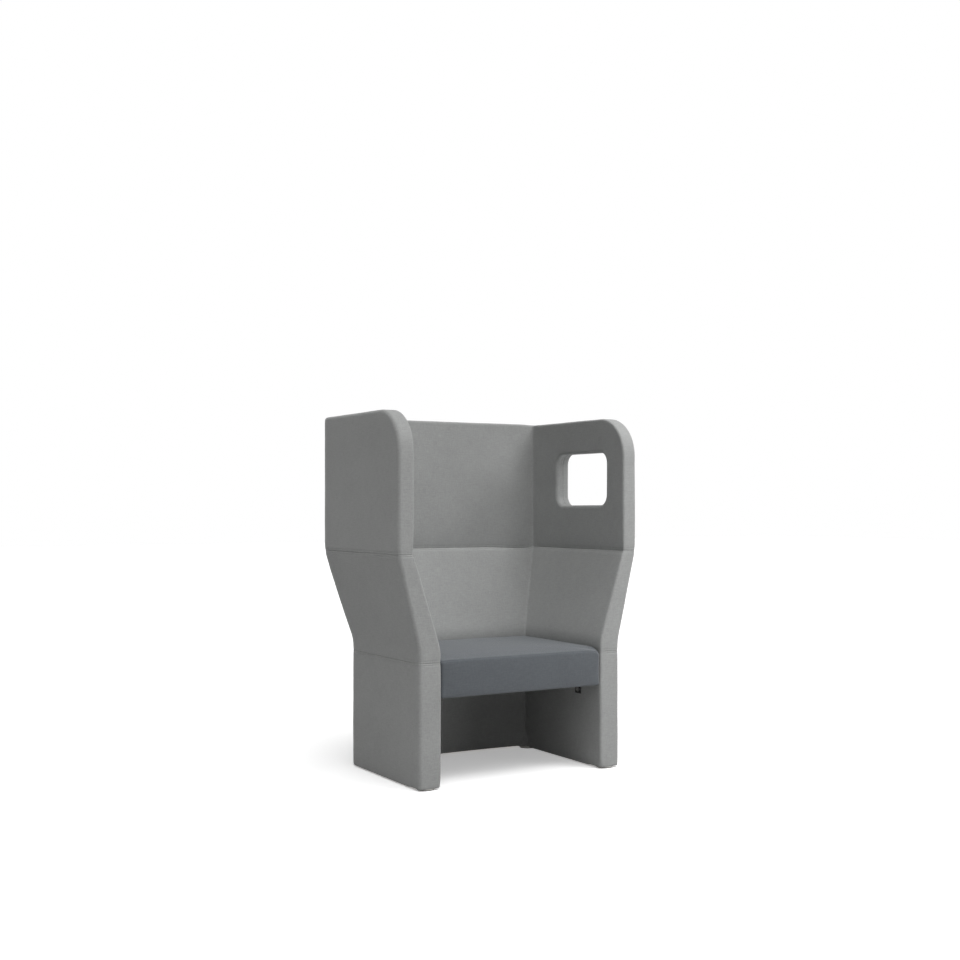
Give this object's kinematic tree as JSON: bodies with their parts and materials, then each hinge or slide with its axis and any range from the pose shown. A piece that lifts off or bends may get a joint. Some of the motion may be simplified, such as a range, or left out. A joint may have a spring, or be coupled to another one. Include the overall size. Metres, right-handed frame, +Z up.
{
  "type": "acoustic high back lounge chair",
  "caption": "Tall upholstered lounge chair with flared side wings, a bowed back, a window cut in one wing and a box seat hung low between the wings.",
  "frame": {"origin": "on the floor under the middle of the chair's bounding box", "axes": "+X to the right of a viewer who faces the chair's front, +Y from the front to the back, +Z up; the sitter looks along -Y"},
  "size_m": [1.05, 0.729, 1.37],
  "materials": {
    "shell_fabric": "light grey woven wool blend with a fine flat weave, matte",
    "seat_fabric": "mid blue-grey woven wool blend, matte",
    "foam": "open-cell upholstery foam",
    "plywood": "birch plywood, unfinished",
    "timber": "planed softwood, unfinished",
    "webbing": "elastic webbing",
    "dust_cloth": "black non-woven cloth",
    "black_steel": "black powder coat, satin",
    "zinc_steel": "zinc plated",
    "glide_plastic": "natural nylon",
    "glide_sole": "black felt-like sole"
  },
  "bodies": {
    "frame": {"left_wing_cover_lower": "shell_fabric", "left_wing_cover_middle": "shell_fabric", "left_wing_cover_upper": "shell_fabric", "left_wing_outer_foam": "foam", "left_wing_inner_foam": "foam", "left_wing_edge_foam": "foam", "left_wing_outer_board": "plywood", "left_wing_inner_board": "plywood", "left_wing_base": "plywood", "left_wing_stiles": "timber", "left_wing_rails": "timber", "right_wing_cover_lower": "shell_fabric", "right_wing_cover_middle": "shell_fabric", "right_wing_cover_upper": "shell_fabric", "right_wing_outer_foam": "foam", "right_wing_inner_foam": "foam", "right_wing_edge_foam": "foam", "right_wing_outer_board": "plywood", "right_wing_inner_board": "plywood", "right_wing_base": "plywood", "right_wing_stiles": "timber", "right_wing_rails": "timber", "window_strip_frame": "plywood", "back_cover_lower": "shell_fabric", "back_cover_middle": "shell_fabric", "back_cover_upper": "shell_fabric", "back_outer_foam": "foam", "back_inner_foam": "foam", "back_top_foam": "foam", "back_outer_board": "plywood", "back_inner_board": "plywood", "back_ribs": "plywood", "back_base": "plywood", "back_end_stiles": "timber", "seat_cover": "seat_fabric", "seat_foam": "foam", "seat_front_rail": "timber", "seat_rear_rail": "timber", "seat_side_rails": "timber", "seat_corner_blocks": "timber", "seat_webbing": "webbing", "seat_dust_cloth": "dust_cloth", "seat_brackets": "black_steel", "bracket_bolts": "zinc_steel", "seat_screws": "zinc_steel", "panel_bolts": "zinc_steel", "barrel_nuts": "zinc_steel", "glide_inserts": "zinc_steel"},
    "front_left_glide": {"front_left_pad": "glide_plastic", "front_left_sole": "glide_sole", "front_left_stud": "zinc_steel"},
    "front_right_glide": {"front_right_pad": "glide_plastic", "front_right_sole": "glide_sole", "front_right_stud": "zinc_steel"},
    "rear_left_glide": {"rear_left_pad": "glide_plastic", "rear_left_sole": "glide_sole", "rear_left_stud": "zinc_steel"},
    "rear_right_glide": {"rear_right_pad": "glide_plastic", "rear_right_sole": "glide_sole", "rear_right_stud": "zinc_steel"}
  },
  "joints": [
    {"name": "front_left_turn", "type": "hinge", "parent": "frame", "child": "front_left_glide", "pos_m": [-0.397, -0.3285, 0.009], "axis": [0, 0, -1], "range_deg": [0, 2880]},
    {"name": "front_right_turn", "type": "hinge", "parent": "frame", "child": "front_right_glide", "pos_m": [0.397, -0.3285, 0.009], "axis": [0, 0, -1], "range_deg": [0, 2880]},
    {"name": "rear_left_turn", "type": "hinge", "parent": "frame", "child": "rear_left_glide", "pos_m": [-0.362, 0.1735, 0.009], "axis": [0, 0, -1], "range_deg": [0, 2880]},
    {"name": "rear_right_turn", "type": "hinge", "parent": "frame", "child": "rear_right_glide", "pos_m": [0.362, 0.1735, 0.009], "axis": [0, 0, -1], "range_deg": [0, 2880]}
  ]
}
